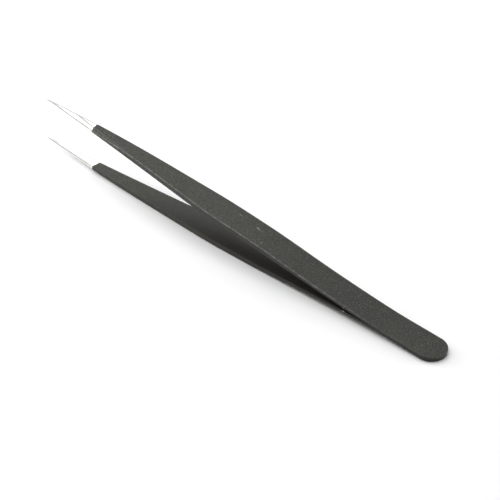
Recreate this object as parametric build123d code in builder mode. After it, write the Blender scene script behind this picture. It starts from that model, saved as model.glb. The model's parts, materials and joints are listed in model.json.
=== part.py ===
from build123d import *
from math import atan2, cos, degrees, radians, sin
import os

# Long, slender needle-point precision tweezers, lying at rest on their lower blade.
# Two pressed stainless blades are spot-welded back to back at the heel. They spring
# apart from there, are ground to needle points, and wear a thin matte coating up to
# the bare points.
#
# Each one-piece blade bends just in front of the weld. Rigid bodies can't bend, so
# each blade is parted at that bend, and a sprung hinge joins its heel to its arm.
#
# "Station" is the distance from the heel's round end, measured along the tweezers.
# "Height" is the distance from the mid-plane, where the two blades lie back to back.
# In the part's own axes the points are at -X, the heel is at +X, the width runs
# along Y, and the floor is at Z = 0, under the middle of the tweezers.

# Driving dimensions, in millimetres
length = 140.0  # overall, from the heel's round end to the points
coat = 0.1  # thickness of the coating
heel_thickness = 0.55  # steel of one blade at the heel
heel_half_width = 4.22  # steel, at the heel's round end
neck_half_width = 4.06  # steel, where the heel has drawn in
grip_half_width = 4.02  # steel, at the shoulder where the long taper starts
point_half_width = 0.07  # steel, at the very point
shoulder_radius = 150.0  # blends the straight sides into the long taper

# Stations
heel_flat_end = 14.0  # the heel's outer faces are flat up to here
steel_split = 16.0  # the steel inner faces part here
coat_split = 18.0  # the coating fills the split's narrow end up to here
flexure = 26.0  # each blade bends here
neck = 28.0
shoulder = 76.0
coat_end = 121.5  # the coating stops here, and bare ground steel carries on

# Spot welds: nuggets that have grown into both heels
weld_stations = (6.0, 12.0)
weld_radius = 1.6
weld_depth = 0.2

# The bent faces of one steel blade: (station, height), one point for each bend
outer_face = [
    (heel_flat_end, heel_thickness),
    (28, 1.14),
    (42, 2.16),
    (58, 3.69),
    (75, 4.62),
    (90, 5.51),
    (105, 6.32),
    (121, 6.73),
    (length, 6.74),
]
inner_face = [
    (28, 0.47),
    (42, 1.32),
    (58, 2.42),
    (75, 3.20),
    (90, 4.08),
    (105, 4.97),
    (121, 5.78),
    (length, 6.28),
]

UPPER = 1
LOWER = -1
belly_samples = 400

# The tweezers lie on the edge of the heel's end and on the lower blade's belly, so
# the mid-plane leans up towards the points by the steepest line between the two.
half_heel = heel_thickness + coat
belly = Spline(outer_face, tangents=[(1, 0), (1, 0)])
lean = max(
    atan2(spot.Y + coat - half_heel, spot.X)
    for spot in belly.positions([step / belly_samples for step in range(belly_samples)])
)
point_height = outer_face[-1][1]
half_span = (length * cos(lean) + (point_height - half_heel) * sin(lean)) / 2

# Two planes lean with the tweezers, both with their origin at the heel's end:
# side_view draws (station, height), and plan_view draws (station, width).
heel_end = (half_span, 0, half_heel * cos(lean))
along = (-cos(lean), 0, sin(lean))
upward = (sin(lean), 0, cos(lean))
side_view = Plane(origin=heel_end, x_dir=along, z_dir=(0, 1, 0))
plan_view = Plane(origin=heel_end, x_dir=along, z_dir=upward)


def side_outline(blade, skin, split):
    """Side view of a whole blade, grown by a skin on both of its bent faces."""
    outer = [(station, blade * (height + skin)) for station, height in outer_face]
    inner = [(station, blade * (height - skin)) for station, height in inner_face]
    with BuildSketch(side_view) as outline:
        with BuildLine():
            Polyline(outer[0], (0, outer[0][1]), (0, 0), (split, 0))
            back = Spline([(split, 0)] + inner)
            front = Spline(outer, tangents=[(1, 0), (1, 0)])
            Line(back @ 1, front @ 1)
        make_face()
    return outline.sketch


def plan_outline(skin):
    """Plan view of a whole blade, grown by a skin on its sides and round end."""
    heel_reach = heel_half_width + skin
    heel_centre = heel_half_width + coat
    with BuildSketch(plan_view) as outline:
        with BuildLine():
            sides = [
                FilletPolyline(
                    (heel_centre, side * heel_reach),
                    (neck, side * (neck_half_width + skin)),
                    (shoulder, side * (grip_half_width + skin)),
                    (length, side * (point_half_width + skin)),
                    radius=shoulder_radius,
                )
                for side in (1, -1)
            ]
            Line(sides[0] @ 1, sides[1] @ 1)
            ThreePointArc(sides[0] @ 0, (coat - skin, 0), sides[1] @ 0)
        make_face()
    return outline.sketch


def stretch(start, end):
    """Side view of all the room between two stations."""
    with BuildSketch(side_view) as outline:
        with Locations(((start + end) / 2, 0)):
            Rectangle(end - start, 4 * point_height)
    return outline.sketch


def blade_between(blade, start, end, skin=0.0, split=steel_split):
    """One blade's solid between two stations, grown by a skin."""
    with BuildPart() as solid:
        extrude(side_outline(blade, skin, split), amount=2 * heel_half_width, both=True)
        extrude(plan_outline(skin), amount=2 * point_height, both=True, mode=Mode.INTERSECT)
        extrude(stretch(start, end), amount=2 * heel_half_width, both=True, mode=Mode.INTERSECT)
    return solid.part


def coated_between(blade, start, end):
    """One blade's outer shape, coating included, between two stations."""
    return blade_between(blade, start, end, skin=coat, split=coat_split)


os.makedirs("parts", exist_ok=True)

# Spot welds: discs of fused steel, half in each heel, that hold the two blades
with BuildPart() as spot_welds:
    with BuildSketch(plan_view):
        with Locations(*[(station, 0) for station in weld_stations]):
            Circle(weld_radius)
    extrude(amount=weld_depth, both=True)
spot_welds.part.label = "spot_welds"
export_step(spot_welds.part, "parts/spot_welds.step")

# Heels: the welded ends of the two blades, thinned so that the blades can flex
with BuildPart() as upper_blade_heel:
    add(blade_between(UPPER, 0, flexure))
    add(spot_welds.part, mode=Mode.SUBTRACT)
upper_blade_heel.part.label = "upper_blade_heel"
export_step(upper_blade_heel.part, "parts/upper_blade_heel.step")

with BuildPart() as lower_blade_heel:
    add(blade_between(LOWER, 0, flexure))
    add(spot_welds.part, mode=Mode.SUBTRACT)
lower_blade_heel.part.label = "lower_blade_heel"
export_step(lower_blade_heel.part, "parts/lower_blade_heel.step")

# Arms: the springing part of each blade, with its finger grip and its needle point
with BuildPart() as upper_blade:
    add(blade_between(UPPER, flexure, length))
upper_blade.part.label = "upper_blade"
export_step(upper_blade.part, "parts/upper_blade.step")

with BuildPart() as lower_blade:
    add(blade_between(LOWER, flexure, length))
lower_blade.part.label = "lower_blade"
export_step(lower_blade.part, "parts/lower_blade.step")

# Coating: one film round the welded heel pack, and a sleeve round each arm
with BuildPart() as upper_coating:
    add(coated_between(UPPER, flexure, coat_end))
    add(upper_blade.part, mode=Mode.SUBTRACT)
upper_coating.part.label = "upper_coating"
export_step(upper_coating.part, "parts/upper_coating.step")

with BuildPart() as lower_coating:
    add(coated_between(LOWER, flexure, coat_end))
    add(lower_blade.part, mode=Mode.SUBTRACT)
lower_coating.part.label = "lower_coating"
export_step(lower_coating.part, "parts/lower_coating.step")

with BuildPart() as heel_coating:
    add(coated_between(UPPER, 0, flexure))
    add(coated_between(LOWER, 0, flexure))
    add(upper_blade_heel.part, mode=Mode.SUBTRACT)
    add(lower_blade_heel.part, mode=Mode.SUBTRACT)
    add(spot_welds.part, mode=Mode.SUBTRACT)
heel_coating.part.label = "heel_coating"
export_step(heel_coating.part, "parts/heel_coating.step")
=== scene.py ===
import json
import math

import bmesh
import bpy
import numpy as np
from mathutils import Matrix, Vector


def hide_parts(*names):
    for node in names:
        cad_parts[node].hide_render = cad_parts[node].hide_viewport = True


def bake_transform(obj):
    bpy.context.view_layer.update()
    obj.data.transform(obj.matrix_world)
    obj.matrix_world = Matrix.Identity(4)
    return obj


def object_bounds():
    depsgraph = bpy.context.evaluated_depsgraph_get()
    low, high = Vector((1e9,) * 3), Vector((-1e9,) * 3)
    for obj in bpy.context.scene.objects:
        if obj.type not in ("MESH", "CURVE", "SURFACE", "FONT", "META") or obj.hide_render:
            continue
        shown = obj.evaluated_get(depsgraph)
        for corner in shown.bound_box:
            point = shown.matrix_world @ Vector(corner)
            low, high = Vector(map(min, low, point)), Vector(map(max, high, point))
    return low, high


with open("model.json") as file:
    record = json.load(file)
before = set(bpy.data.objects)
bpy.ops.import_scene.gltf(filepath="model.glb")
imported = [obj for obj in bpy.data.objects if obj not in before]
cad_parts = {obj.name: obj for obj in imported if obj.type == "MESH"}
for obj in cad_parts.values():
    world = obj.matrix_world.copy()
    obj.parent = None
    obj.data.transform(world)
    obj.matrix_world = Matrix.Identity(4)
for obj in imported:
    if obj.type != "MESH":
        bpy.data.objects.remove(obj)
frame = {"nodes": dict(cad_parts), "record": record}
cad_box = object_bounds()

# Steel blades
# Each blade is one strip of stainless spring steel, blanked, thinned at the heel so that it
# flexes there, pressed to its bends, and ground by hand to a needle point with a slanting
# facet. Both are alike: the lower one is the upper one rolled half a turn about its length.
MM = 0.001
LENGTH = 140.0
FILM = 0.1
HEEL_HALF_WIDTH = 4.22
POINT_HALF_WIDTH = 0.07
HEEL_CENTRE = HEEL_HALF_WIDTH + FILM

# The tweezers lean on their lower blade. The record's mounts say which way they lie.
mounts = {mount["name"]: mount for mount in frame["record"]["mounts"]}
TOWARDS_POINTS = np.array(mounts["points"]["axis"])
UPWARD = -np.array(mounts["heel_underside"]["axis"])
ACROSS = np.array((0.0, 1.0, 0.0))
HEEL_END = np.array(mounts["points"]["pos_m"]) - TOWARDS_POINTS * LENGTH * MM

# A place on a blade is a station along it from the heel's end, a width to one side of its
# middle, and a height off the plane where the two heels lie back to back. On the lower blade
# the width and the height are measured the other way.
UPPER = 1
LOWER = -1

# Corners of the blank's edge: the station, how far to each side of it the corner is
# eased, and the slopes of the edge before and after it.
HEEL_SLOPE = -0.0068
GRIP_SLOPE = -0.0008
TAPER_SLOPE = -0.0595
POINT_SLOPE = -0.0672
EDGE_CORNERS = [
    (28.0, 3.0, HEEL_SLOPE, GRIP_SLOPE),
    (76.0, 4.6, GRIP_SLOPE, TAPER_SLOPE),
    (121.0, 6.0, TAPER_SLOPE, POINT_SLOPE),
]

OUTER_FACE = [(14, 0.55), (28, 1.14), (42, 2.16), (58, 3.69), (75, 4.62), (90, 5.51),
              (105, 6.32), (121, 6.73), (131, 6.79), (137, 6.73), (LENGTH, 6.56)]
INNER_FACE = [(18, 0.0), (28, 0.37), (42, 1.22), (58, 2.32), (75, 3.10), (90, 3.98),
              (105, 4.87), (121, 5.68), (LENGTH, 6.18)]

# The facet that the point is ground with: the line where it meets the outer face runs
# from the blade's left edge to its right edge, and it falls away less towards the tip.
# FACET_FALL is its slope across the blade at some stations.
RIDGE_START = 107.5
RIDGE_END = 131.0
RIDGE_SOFTNESS = 0.05
FACET_FALL = [(107, 0.80), (118, 0.80), (123, 0.72), (127, 0.48), (131, 0.38), (135, 0.33),
              (LENGTH, 0.25)]


def smooth_curve(points, start_slope=0.0, end_slope=0.0):
    """A cubic through points, as bent strip takes it. Before its first point it is flat."""
    x = np.array([p[0] for p in points], float)
    y = np.array([p[1] for p in points], float)
    step = np.diff(x)
    rise = np.diff(y) / step
    n = len(x)
    system = np.zeros((n, n))
    known = np.zeros(n)
    system[0, 0] = system[-1, -1] = 1.0
    known[0] = start_slope
    known[-1] = end_slope
    for i in range(1, n - 1):
        system[i, i - 1] = step[i]
        system[i, i] = 2 * (step[i - 1] + step[i])
        system[i, i + 1] = step[i - 1]
        known[i] = 3 * (step[i] * rise[i - 1] + step[i - 1] * rise[i])
    slope = np.linalg.solve(system, known)

    def height(at):
        at = np.asarray(at, float)
        i = np.clip(np.searchsorted(x, at) - 1, 0, n - 2)
        t = np.clip((at - x[i]) / step[i], 0, 1)
        a = (1 + 2 * t) * (1 - t) ** 2
        b = t * (1 - t) ** 2
        c = t * t * (3 - 2 * t)
        d = t * t * (t - 1)
        return a * y[i] + b * step[i] * slope[i] + c * y[i + 1] + d * step[i] * slope[i + 1]

    return height


def ease(value, low, high):
    """0 below low, 1 above high, and smooth between them."""
    t = np.clip((np.asarray(value, float) - low) / (high - low), 0, 1)
    return t * t * (3 - 2 * t)


outer_height = smooth_curve(OUTER_FACE, end_slope=-0.08)
film_inner_height = smooth_curve(INNER_FACE, end_slope=0.02)


FILM_BETWEEN_HEELS = 0.01


def inner_height(station, skin):
    """The inner face. The film on it thins out where the heels close on each other."""
    film = film_inner_height(station)
    if skin > 0:
        return film
    open_share = ease(station, 15, 23)
    return film + FILM_BETWEEN_HEELS + (FILM - FILM_BETWEEN_HEELS) * open_share


def half_width(station):
    """Half the steel blank's width, from the heel's centre to the point."""
    width = HEEL_HALF_WIDTH + HEEL_SLOPE * (station - HEEL_CENTRE)
    for corner, eased, before, after in EDGE_CORNERS:
        past = np.clip(station - corner + eased, 0, 2 * eased)
        width = width + (after - before) * (past**2 / (4 * eased) + max(0.0, station - corner - eased))
    return max(width, POINT_HALF_WIDTH)


RINGS_ROUND_HEEL = 22
RINGS_ALONG_SIDE = 330
SLOPE_REACH = 0.05


def edge_of_blank(skin, last):
    """(station, half width, outward normal) along one side, from the round end to last."""
    reach = HEEL_HALF_WIDTH + skin
    for k in range(RINGS_ROUND_HEEL):
        turn = math.pi / 2 * k / RINGS_ROUND_HEEL
        outward = (-math.cos(turn), math.sin(turn))
        yield HEEL_CENTRE - reach * math.cos(turn), reach * math.sin(turn), outward
    for k in range(RINGS_ALONG_SIDE + 1):
        station = HEEL_CENTRE + (last - HEEL_CENTRE) * k / RINGS_ALONG_SIDE
        rise = half_width(station + SLOPE_REACH) - half_width(station - SLOPE_REACH)
        slope = rise / (2 * SLOPE_REACH)
        size = math.hypot(1, slope)
        yield station, half_width(station) + skin, (-slope / size, 1 / size)


def ridge_width(station):
    """Where the ridge crosses the blade."""
    if station > RIDGE_END:
        return half_width(station)
    edges = (-half_width(RIDGE_START), half_width(RIDGE_END))
    return np.interp(station, (RIDGE_START, RIDGE_END), edges)


def facet_fall(station, width):
    """How far the ground facet lies below the outer face at a place on the blade."""
    past = ridge_width(station) - width
    softened = (past + math.hypot(past, RIDGE_SOFTNESS)) / 2
    steepness = np.interp(station, [f[0] for f in FACET_FALL], [f[1] for f in FACET_FALL])
    return ease(station, RIDGE_START - 4, RIDGE_START + 2) * steepness * softened


# What each point of a ring carries for the materials: how far it is from a ground or rubbed edge, and
# 1 where the film is given painted shade, on the sides and the inner face.
ON_EDGE = (0.0, 0.0)
IN_PAINTED_SHADE = (1.0, 1.0)

# Radii of the edges. Where the needle has no room for them they are a share of its size.
STEEL_EDGE = 0.12
FILM_EDGE = 0.20
HEEL_INNER_EDGE = 0.06
INNER_EDGE = 0.15
LEAST_EDGE = 0.002
# Points stand this far to both sides of the ridge, to keep it crisp.
RIDGE_GAP = 0.06


def section(station, reach, normal, skin):
    """One ring of points round the blade: (station, width, height, what it carries)."""
    along, sideways = normal
    low = float(inner_height(station, skin))
    thick = float(outer_height(station)) + skin - low
    edge = FILM_EDGE if skin else STEEL_EDGE
    outer_round = min(edge, 0.28 * thick, 0.45 * reach + LEAST_EDGE)
    edge = HEEL_INNER_EDGE + (INNER_EDGE - HEEL_INNER_EDGE) * float(ease(station, 20, 30))
    inner_round = min(edge, 0.22 * thick, 0.4 * reach + LEAST_EDGE)

    def top(at_station, at_width, radius):
        height = float(outer_height(at_station)) + skin - facet_fall(at_station, at_width)
        return max(height, low + 2.2 * radius)

    def corner(side, radius, share, outer):
        """A point of a rounded edge: share 0 is on the face, share 1 is on the side."""
        turn = share * math.pi / 2
        inset = radius * (1 - math.sin(turn))
        drop = radius * (1 - math.cos(turn))
        at = station - inset * along
        width = side * (reach - inset * sideways)
        if outer:
            return at, width, top(at, width, radius) - drop, ON_EDGE
        return at, width, float(inner_height(at, skin)) + drop, IN_PAINTED_SHADE if skin else ON_EDGE

    # Round the far side's two edges, with a point on the side between them.
    middle_of_side = (0.6 * thick, 1.0)
    ring = [corner(1, outer_round, share, True) for share in (0, 0.25, 0.5, 0.75, 1)]
    foot = corner(1, inner_round, 1, False)
    ring.append((foot[0], foot[1], (ring[-1][2] + foot[2]) / 2, middle_of_side))
    ring += [corner(1, inner_round, share, False) for share in (1, 0.66, 0.33, 0)]

    # Across the inner face, and round the near side's edges.
    far = ring[-1]
    near = corner(-1, inner_round, 0, False)
    for share in (0.06, 0.25, 0.5, 0.75, 0.94):
        width = far[1] + (near[1] - far[1]) * share
        carried = IN_PAINTED_SHADE if skin else (far[1] - abs(width), 1.0)
        ring.append((far[0], width, far[2], carried))
    ring += [corner(-1, inner_round, share, False) for share in (0, 0.33, 0.66, 1)]
    shoulder = corner(-1, outer_round, 1, True)
    ring.append((shoulder[0], shoulder[1], (ring[-1][2] + shoulder[2]) / 2, middle_of_side))
    ring += [corner(-1, outer_round, share, True) for share in (1, 0.75, 0.5, 0.25, 0)]

    # Back across the outer face, with points close together on both sides of the ridge.
    start = ring[-1]
    end = ring[0]
    span = end[1] - start[1]
    ridge = max(ridge_width(start[0]), start[1] + 0.12 * span)
    ridge = min(ridge, end[1] - 0.12 * span)
    crease = RIDGE_GAP * min(span, 1)
    before = ridge - crease
    after = ridge + crease
    widths = [start[1] + (before - start[1]) * share for share in (0.12, 0.4, 0.7, 1)]
    widths += [ridge]
    widths += [after + (end[1] - after) * share for share in (0, 0.2, 0.45, 0.7, 0.92)]
    for width in widths:
        from_edge = end[1] - abs(width)
        if station > RIDGE_START:
            from_edge = min(from_edge, abs(width - ridge))
        # On the steel, the dull line of burr and painted dark reflection is twice as wide past the
        # ridge.
        if not skin and width > ridge:
            from_edge *= 0.5
        ring.append((start[0], width, top(start[0], width, outer_round), (from_edge, 0.0)))
    return ring


def skin_of(name, rings, blade, closed_tip, lining=None):
    """A mesh laid over rings of points. A lining is a second set of rings, inside the first."""
    mesh = bpy.data.meshes.new(name)
    bm = bmesh.new()
    place = bm.verts.layers.float_vector.new("place")
    from_edge = bm.verts.layers.float.new("from_edge")
    painted_shade_share = bm.verts.layers.float.new("painted_shade_share")

    def vertex(point):
        station, width, height, carried = point
        at = HEEL_END + (TOWARDS_POINTS * station + (ACROSS * width + UPWARD * height) * blade) * MM
        made = bm.verts.new(at)
        made[place] = (station, width * blade, height * blade)
        made[from_edge], made[painted_shade_share] = carried
        return made

    def lay(loops):
        made = [[vertex(point) for point in ring] for ring in loops]
        for a, b in zip(made, made[1:]):
            for i in range(len(a)):
                j = (i + 1) % len(a)
                bm.faces.new((a[i], a[j], b[j], b[i]))
        return made

    outside = lay(rings)
    if closed_tip:
        bm.faces.new(outside[-1])
    if lining:
        inside = lay(lining)
        a = outside[-1]
        b = inside[-1]
        for i in range(len(a)):
            j = (i + 1) % len(a)
            bm.faces.new((a[i], a[j], b[j], b[i]))
    bmesh.ops.remove_doubles(bm, verts=bm.verts, dist=0.0005 * MM)
    bmesh.ops.dissolve_degenerate(bm, edges=bm.edges, dist=0.0002 * MM)
    bmesh.ops.recalc_face_normals(bm, faces=bm.faces)
    bm.to_mesh(mesh)
    bm.free()
    mesh.shade_smooth()
    piece = bpy.data.objects.new(name, mesh)
    bpy.context.scene.collection.objects.link(piece)
    return piece


TIP_ROUND = 0.09
TIP_RINGS = 4


def rounded_tip(ring):
    """Rings that close the needle's end, each smaller than the one before."""
    middle = np.mean([point[:3] for point in ring], axis=0)
    # They stop a little short of a quarter turn, which leaves a tiny flat end.
    for k in range(1, TIP_RINGS + 1):
        turn = math.pi / 2 * k / (TIP_RINGS + 0.35)
        shrink = math.cos(turn)
        smaller = []
        for station, width, height, carried in ring:
            smaller.append((
                station + TIP_ROUND * math.sin(turn),
                middle[1] + (width - middle[1]) * shrink,
                middle[2] + (height - middle[2]) * shrink,
                carried,
            ))
        yield smaller


steel_rings = [section(*sample, 0.0) for sample in edge_of_blank(0.0, LENGTH - TIP_ROUND)]
steel_rings += list(rounded_tip(steel_rings[-1]))
upper_steel = skin_of("upper_steel_blade", steel_rings, UPPER, closed_tip=True)
lower_steel = skin_of("lower_steel_blade", steel_rings, LOWER, closed_tip=True)


def on_mid_plane(station):
    return Vector(HEEL_END + TOWARDS_POINTS * station * MM)


def new_material(name):
    material = bpy.data.materials.new(name)
    material.use_nodes = True
    return material, material.node_tree.nodes, material.node_tree.links


# The helpers below add a shader node to the material that new_material made last.
def attribute(name):
    made = nodes.new("ShaderNodeAttribute")
    made.attribute_name = name
    return made


def noise(coordinates, scale, detail=3, roughness=0.5):
    made = nodes.new("ShaderNodeTexNoise")
    made.inputs["Scale"].default_value = scale
    made.inputs["Detail"].default_value = detail
    made.inputs["Roughness"].default_value = roughness
    links.new(coordinates, made.inputs["Vector"])
    return made.outputs["Fac"]


def placed(coordinates, middle=(0, 0, 0), turned=0.0, size=(1, 1, 1)):
    """Coordinates measured from a middle, along a turned direction, in lengths of a given size."""
    made = nodes.new("ShaderNodeMapping")
    made.vector_type = "TEXTURE"
    made.inputs["Location"].default_value = middle
    made.inputs["Rotation"].default_value = (0, 0, math.radians(turned))
    made.inputs["Scale"].default_value = size
    links.new(coordinates, made.inputs["Vector"])
    return made.outputs["Vector"]


def between(value, low, high, to_low=0.0, to_high=1.0):
    """A value turned into another range: low gives to_low, and high gives to_high."""
    made = nodes.new("ShaderNodeMapRange")
    made.interpolation_type = "SMOOTHSTEP"
    made.inputs["From Min"].default_value = low
    made.inputs["From Max"].default_value = high
    made.inputs["To Min"].default_value = to_low
    made.inputs["To Max"].default_value = to_high
    links.new(value, made.inputs["Value"])
    return made.outputs["Result"]


def combine(operation, a, b):
    made = nodes.new("ShaderNodeMath")
    made.operation = operation
    for socket, value in zip(made.inputs, (a, b)):
        if isinstance(value, (int, float)):
            socket.default_value = value
        else:
            links.new(value, socket)
    return made.outputs["Value"]


def tint(share, under, over):
    """One colour laid over another, by a share from 0 to 1."""
    made = nodes.new("ShaderNodeMix")
    made.data_type = "RGBA"
    links.new(share, made.inputs["Factor"])
    for socket, colour in ((made.inputs["A"], under), (made.inputs["B"], over)):
        if isinstance(colour, tuple):
            socket.default_value = colour + (1,)
        else:
            links.new(colour, socket)
    return made.outputs["Result"]


def relief(height, depth, strength):
    """A bumpy normal, depth in millimetres."""
    made = nodes.new("ShaderNodeBump")
    made.inputs["Strength"].default_value = strength
    made.inputs["Distance"].default_value = depth * MM
    links.new(height, made.inputs["Height"])
    return made.outputs["Normal"]


steel, nodes, links = new_material("ground_stainless")
bsdf = nodes["Principled BSDF"]
spot = attribute("place").outputs["Vector"]
from_edge = attribute("from_edge").outputs["Fac"]
# Grinding lines run along the point, so the pattern is drawn out along the blade.
grinding = noise(placed(spot, size=(2.6, 0.07, 0.07)), 1.0, 5)
colour = tint(between(grinding, 0.30, 0.62), (0.80, 0.80, 0.79), (0.95, 0.95, 0.94))
# Each ground edge gets a thin dull line: partly burr, partly a painted dark reflection.
edge_line_variation = between(grinding, 0.2, 0.7, 1.0, 0.8)
burr_and_painted_reflection = combine("MULTIPLY", between(from_edge, 0.26, 0.07), edge_line_variation)
colour = tint(burr_and_painted_reflection, colour, (0.33, 0.33, 0.32))
links.new(combine("SUBTRACT", 1.0, burr_and_painted_reflection), bsdf.inputs["Metallic"])
# Baking the film leaves a faint straw tint beside it.
along = nodes.new("ShaderNodeSeparateXYZ")
links.new(spot, along.inputs["Vector"])
colour = tint(between(along.outputs["X"], 124.0, 121.4, 0.0, 0.4), colour, (0.98, 0.90, 0.84))
links.new(colour, bsdf.inputs["Base Color"])
roughness = between(grinding, 0.3, 0.7, 0.18, 0.30)
links.new(combine("ADD", roughness, combine("MULTIPLY", burr_and_painted_reflection, 0.25)), bsdf.inputs["Roughness"])
links.new(relief(grinding, 0.003, 0.3), bsdf.inputs["Normal"])

for piece, arm in ((upper_steel, "upper"), (lower_steel, "lower")):
    piece.data.materials.append(steel)
    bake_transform(piece)
    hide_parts(arm + "_blade", arm + "_blade_heel")

# Spot welds
# Two nuggets of fused steel hold the heels back to back. They are sealed inside, and
# keep the colour of steel that was hot while it was squeezed. Their CAD shape stays.
nugget, nodes, links = new_material("weld_nugget")
bsdf = nodes["Principled BSDF"]
bsdf.inputs["Metallic"].default_value = 1.0
grain = noise(nodes.new("ShaderNodeTexCoord").outputs["Object"], 2500)
colour = tint(between(grain, 0.3, 0.7), (0.28, 0.25, 0.22), (0.55, 0.50, 0.44))
links.new(colour, bsdf.inputs["Base Color"])
links.new(between(grain, 0.3, 0.7, 0.35, 0.6), bsdf.inputs["Roughness"])
welds = frame["nodes"]["spot_welds"]
welds.data.materials.clear()
welds.data.materials.append(nugget)

# Coating
# A thin near-black epoxy film is sprayed over the welded pair and baked. The points
# are masked off, so it ends there in a slightly uneven lip.
LIP = 0.12
LIP_THICKNESS = 0.004
# The mask pulls the film's edge askew over this length.
MASKED = 2.5


def film_rings(skin, last, slant):
    """The film's outside, or with no skin its lining, which ends at the slanting mask."""
    for station, reach, normal in edge_of_blank(skin, last):
        left = last - station
        if skin and left < LIP:
            thinner = skin * math.sqrt(max(0.0, 1 - (1 - left / LIP) ** 2))
            ring = section(station, reach - skin + thinner, normal, max(thinner, LIP_THICKNESS))
        else:
            ring = section(station, reach, normal, skin)
        near_mask = float(ease(station, last - MASKED, last))
        slanted = []
        for at, width, height, carried in ring:
            uneven = 0.03 * math.sin(4.1 * width + 5.3 * height) + 0.02 * math.sin(19 * width)
            slanted.append((at + near_mask * (slant * width + uneven), width, height, carried))
        yield slanted


# Each mask's station and slant. They were cut by hand, so the two blades differ a little.
UPPER_MASK = (121.75, 0.15)
LOWER_MASK = (121.1, 0.12)
films = []
for name, blade, mask in (("upper", UPPER, UPPER_MASK), ("lower", LOWER, LOWER_MASK)):
    outside = list(film_rings(FILM, *mask))
    lining = list(film_rings(0.0, *mask))
    films.append(skin_of(name + "_coating_film", outside, blade, closed_tip=False, lining=lining))
upper_film, lower_film = films

epoxy, nodes, links = new_material("matte_black_epoxy")
bsdf = nodes["Principled BSDF"]
bsdf.inputs["IOR"].default_value = 1.45
spot = attribute("place").outputs["Vector"]
from_edge = attribute("from_edge").outputs["Fac"]
grain = noise(spot, 2.6, 6, 0.65)
specks = noise(spot, 4.2, 3, 0.6)
cloud = noise(spot, 0.22)
# Painted light: the film's colour is a little greyer towards the points, where the light on it is
# brighter.
at_heel = tint(between(cloud, 0.3, 0.7), (0.0200, 0.0213, 0.0125), (0.0285, 0.0300, 0.0185))
at_points = tint(between(cloud, 0.3, 0.7), (0.0380, 0.0398, 0.0262), (0.0480, 0.0500, 0.0335))
along = nodes.new("ShaderNodeSeparateXYZ")
links.new(spot, along.inputs["Vector"])
colour = tint(between(along.outputs["X"], 30, 85), at_heel, at_points)
colour = tint(between(grain, 0.36, 0.64), (0.0030, 0.0032, 0.0016), colour)
colour = tint(between(specks, 0.57, 0.69, 0, 1.0), colour, (0.125, 0.127, 0.105))
# The outer edges are rubbed in patches, less so at the heel. The lighter edge is partly wear and
# partly a painted highlight of the rounded edge.
patchy = between(noise(spot, 0.9, 4), 0.35, 0.65, 0.3, 1.0)
patchy = combine("MULTIPLY", patchy, between(along.outputs["X"], 12, 45, 0.2, 1.0))
worn_and_highlit_edge = combine("MULTIPLY", between(from_edge, 0.12, 0.0), patchy)
colour = tint(worn_and_highlit_edge, colour, (0.125, 0.125, 0.115))
# Painted shade: on the sides and the inner face the film is painted darker and browner, less so
# towards the points.
painted_shade_share = attribute("painted_shade_share").outputs["Fac"]
shade = combine("MULTIPLY", painted_shade_share, between(along.outputs["X"], 55, 115, 0.65, 0.0))
colour = tint(shade, colour, (0.0110, 0.0070, 0.0040))


def light_mark(middle, turned, size, lightness):
    """A light mark where the film lies inside a stretched and turned ball."""
    reach = nodes.new("ShaderNodeVectorMath")
    reach.operation = "LENGTH"
    links.new(placed(spot, middle, turned, size), reach.inputs[0])
    return between(reach.outputs["Value"], 1.0, 0.5, 0.0, lightness)


# Both inner edges get a painted glint where the blades part, drawn as a light chip in the film.
scuffs_and_glint = light_mark((29.3, -4.15, 0), 0, (0.5, 0.35, 0.95), 1.0)
# The upper outer face lies within this reach of this height.
UPPER_FACE = 4.3
UPPER_FACE_REACH = 4.2
# Scuffs on the upper outer face: station, width, direction in degrees, half length, half
# breadth, and how light they are.
SCUFFS = [
    (63.1, 1.15, 13, 0.75, 0.13, 0.9),
    (62.7, 1.05, 20, 0.22, 0.16, 1.0),
    (61.9, 0.85, 10, 0.95, 0.08, 0.45),
    (69.6, 1.80, 13, 0.85, 0.13, 0.45),
    (58.7, -2.50, 83, 1.10, 0.16, 0.30),
    (77.2, -3.86, 2, 0.80, 0.09, 0.30),
    (6.0, -0.85, 35, 0.40, 0.25, 0.30),
    (34.0, 1.60, 160, 0.50, 0.07, 0.30),
    (96.0, 0.40, 20, 0.60, 0.07, 0.30),
]
for station, width, turned, half_length, half_breadth, lightness in SCUFFS:
    size = (half_length, half_breadth, UPPER_FACE_REACH)
    marked = light_mark((station, width, UPPER_FACE), turned, size, lightness)
    scuffs_and_glint = combine("MAXIMUM", scuffs_and_glint, marked)
scuffs_and_glint = combine("MULTIPLY", scuffs_and_glint, between(specks, 0.3, 0.55, 0.5, 1.0))
colour = tint(scuffs_and_glint, colour, (0.33, 0.33, 0.31))
links.new(colour, bsdf.inputs["Base Color"])
links.new(between(grain, 0.3, 0.7, 0.42, 0.62), bsdf.inputs["Roughness"])
pebbled = combine("ADD", grain, combine("MULTIPLY", noise(spot, 0.7, 2), 0.8))
links.new(relief(pebbled, 0.022, 0.8), bsdf.inputs["Normal"])

for piece, arm in ((upper_film, "upper"), (lower_film, "lower")):
    piece.data.materials.append(epoxy)
    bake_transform(piece)
    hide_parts(arm + "_coating", "heel_coating")

# Floor
# A wide sheet of white paper, such as small tools are laid on to be shown. The tweezers
# rest on it with the lower blade's belly and the edge of the heel's end.
FLOOR_SIZE = 3.0
paper = bpy.data.meshes.new("white_paper")
bm = bmesh.new()
bmesh.ops.create_grid(bm, x_segments=24, y_segments=24, size=FLOOR_SIZE)
bm.to_mesh(paper)
bm.free()
floor = bpy.data.objects.new("floor", paper)
bpy.context.scene.collection.objects.link(floor)
white, nodes, links = new_material("white_paper")
bsdf = nodes["Principled BSDF"]
bsdf.inputs["Base Color"].default_value = (0.92, 0.92, 0.92, 1)
bsdf.inputs["Roughness"].default_value = 0.9
bsdf.inputs["Specular IOR Level"].default_value = 0.1
paper.materials.append(white)

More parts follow.
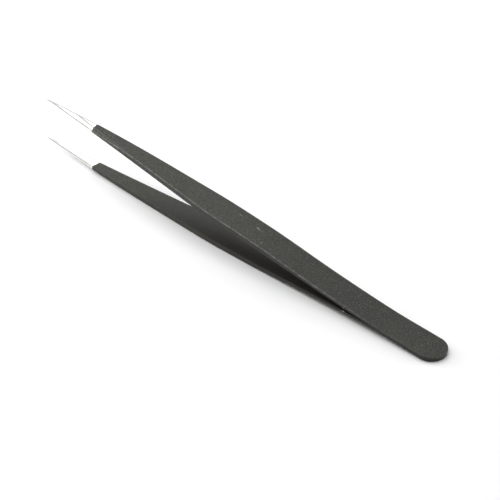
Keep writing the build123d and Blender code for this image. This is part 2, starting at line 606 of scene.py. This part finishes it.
# Light
# A soft white room with three soft boxes: a broad one overhead, leaning towards the points,
# a low one close past the points, and a long low one behind the heel.
world = bpy.data.worlds.new("white_room")
bpy.context.scene.world = world
world.use_nodes = True
world.node_tree.nodes["Background"].inputs["Color"].default_value = (1, 1, 1, 1)
world.node_tree.nodes["Background"].inputs["Strength"].default_value = 0.31

middle = (cad_box[0] + cad_box[1]) / 2
# Name, azimuth and elevation in degrees, distance, width and height in metres, brightness.
SOFT_BOXES = [
    ("overhead", 170, 60, 0.85, 1.1, 1.1, 2.1),
    ("past_the_points", 195, 12, 0.5, 0.47, 0.21, 6.4),
    ("behind_the_heel", 48, 12, 1.0, 0.90, 0.42, 5.5),
]
for name, azimuth, elevation, distance, width, height, brightness in SOFT_BOXES:
    soft_box = bpy.data.lights.new(name, "AREA")
    soft_box.shape = "RECTANGLE"
    soft_box.size = width
    soft_box.size_y = height
    soft_box.energy = brightness * math.pi * width * height
    lamp = bpy.data.objects.new(name, soft_box)
    bpy.context.scene.collection.objects.link(lamp)
    turn = math.radians(azimuth)
    rise = math.radians(elevation)
    level = Vector((math.cos(turn), math.sin(turn), 0))
    towards_lamp = level * math.cos(rise) + Vector((0, 0, math.sin(rise)))
    lamp.location = middle + towards_lamp * distance
    lamp.rotation_mode = "QUATERNION"
    lamp.rotation_quaternion = towards_lamp.to_track_quat("Z", "Y")

# Camera
# It looks down at the tweezers from behind the heel and to the left of it, through a long
# lens, so that the points lie at the upper left of the view and the heel at the lower right.
AZIMUTH = math.radians(42.1)
ELEVATION = math.radians(36.97)
DISTANCE = 0.6
# The middle of the view, measured in the view's own directions from a place on the heel.
AIM_STATION = 6
AIM_LEFT = 0.04345
AIM_UP = 0.02361
camera_right = Vector((math.cos(AZIMUTH), math.sin(AZIMUTH), 0))
camera_ahead = Vector((-math.sin(AZIMUTH), math.cos(AZIMUTH), 0))
lens = bpy.data.cameras.new("camera")
lens.sensor_width = 36
lens.lens = 174.4
camera = bpy.data.objects.new("camera", lens)
bpy.context.scene.collection.objects.link(camera)
camera_up = camera_ahead * math.sin(ELEVATION) + Vector((0, 0, math.cos(ELEVATION)))
looking = camera_ahead * math.cos(ELEVATION) - Vector((0, 0, math.sin(ELEVATION)))
aim = on_mid_plane(AIM_STATION) - camera_right * AIM_LEFT + camera_up * AIM_UP
camera.location = aim - looking * DISTANCE
camera.rotation_mode = "QUATERNION"
camera.rotation_quaternion = looking.to_track_quat("-Z", "Y")
lens.clip_start = 0.01
lens.clip_end = 20
bpy.context.scene.camera = camera
bpy.context.scene.view_settings.view_transform = "Standard"
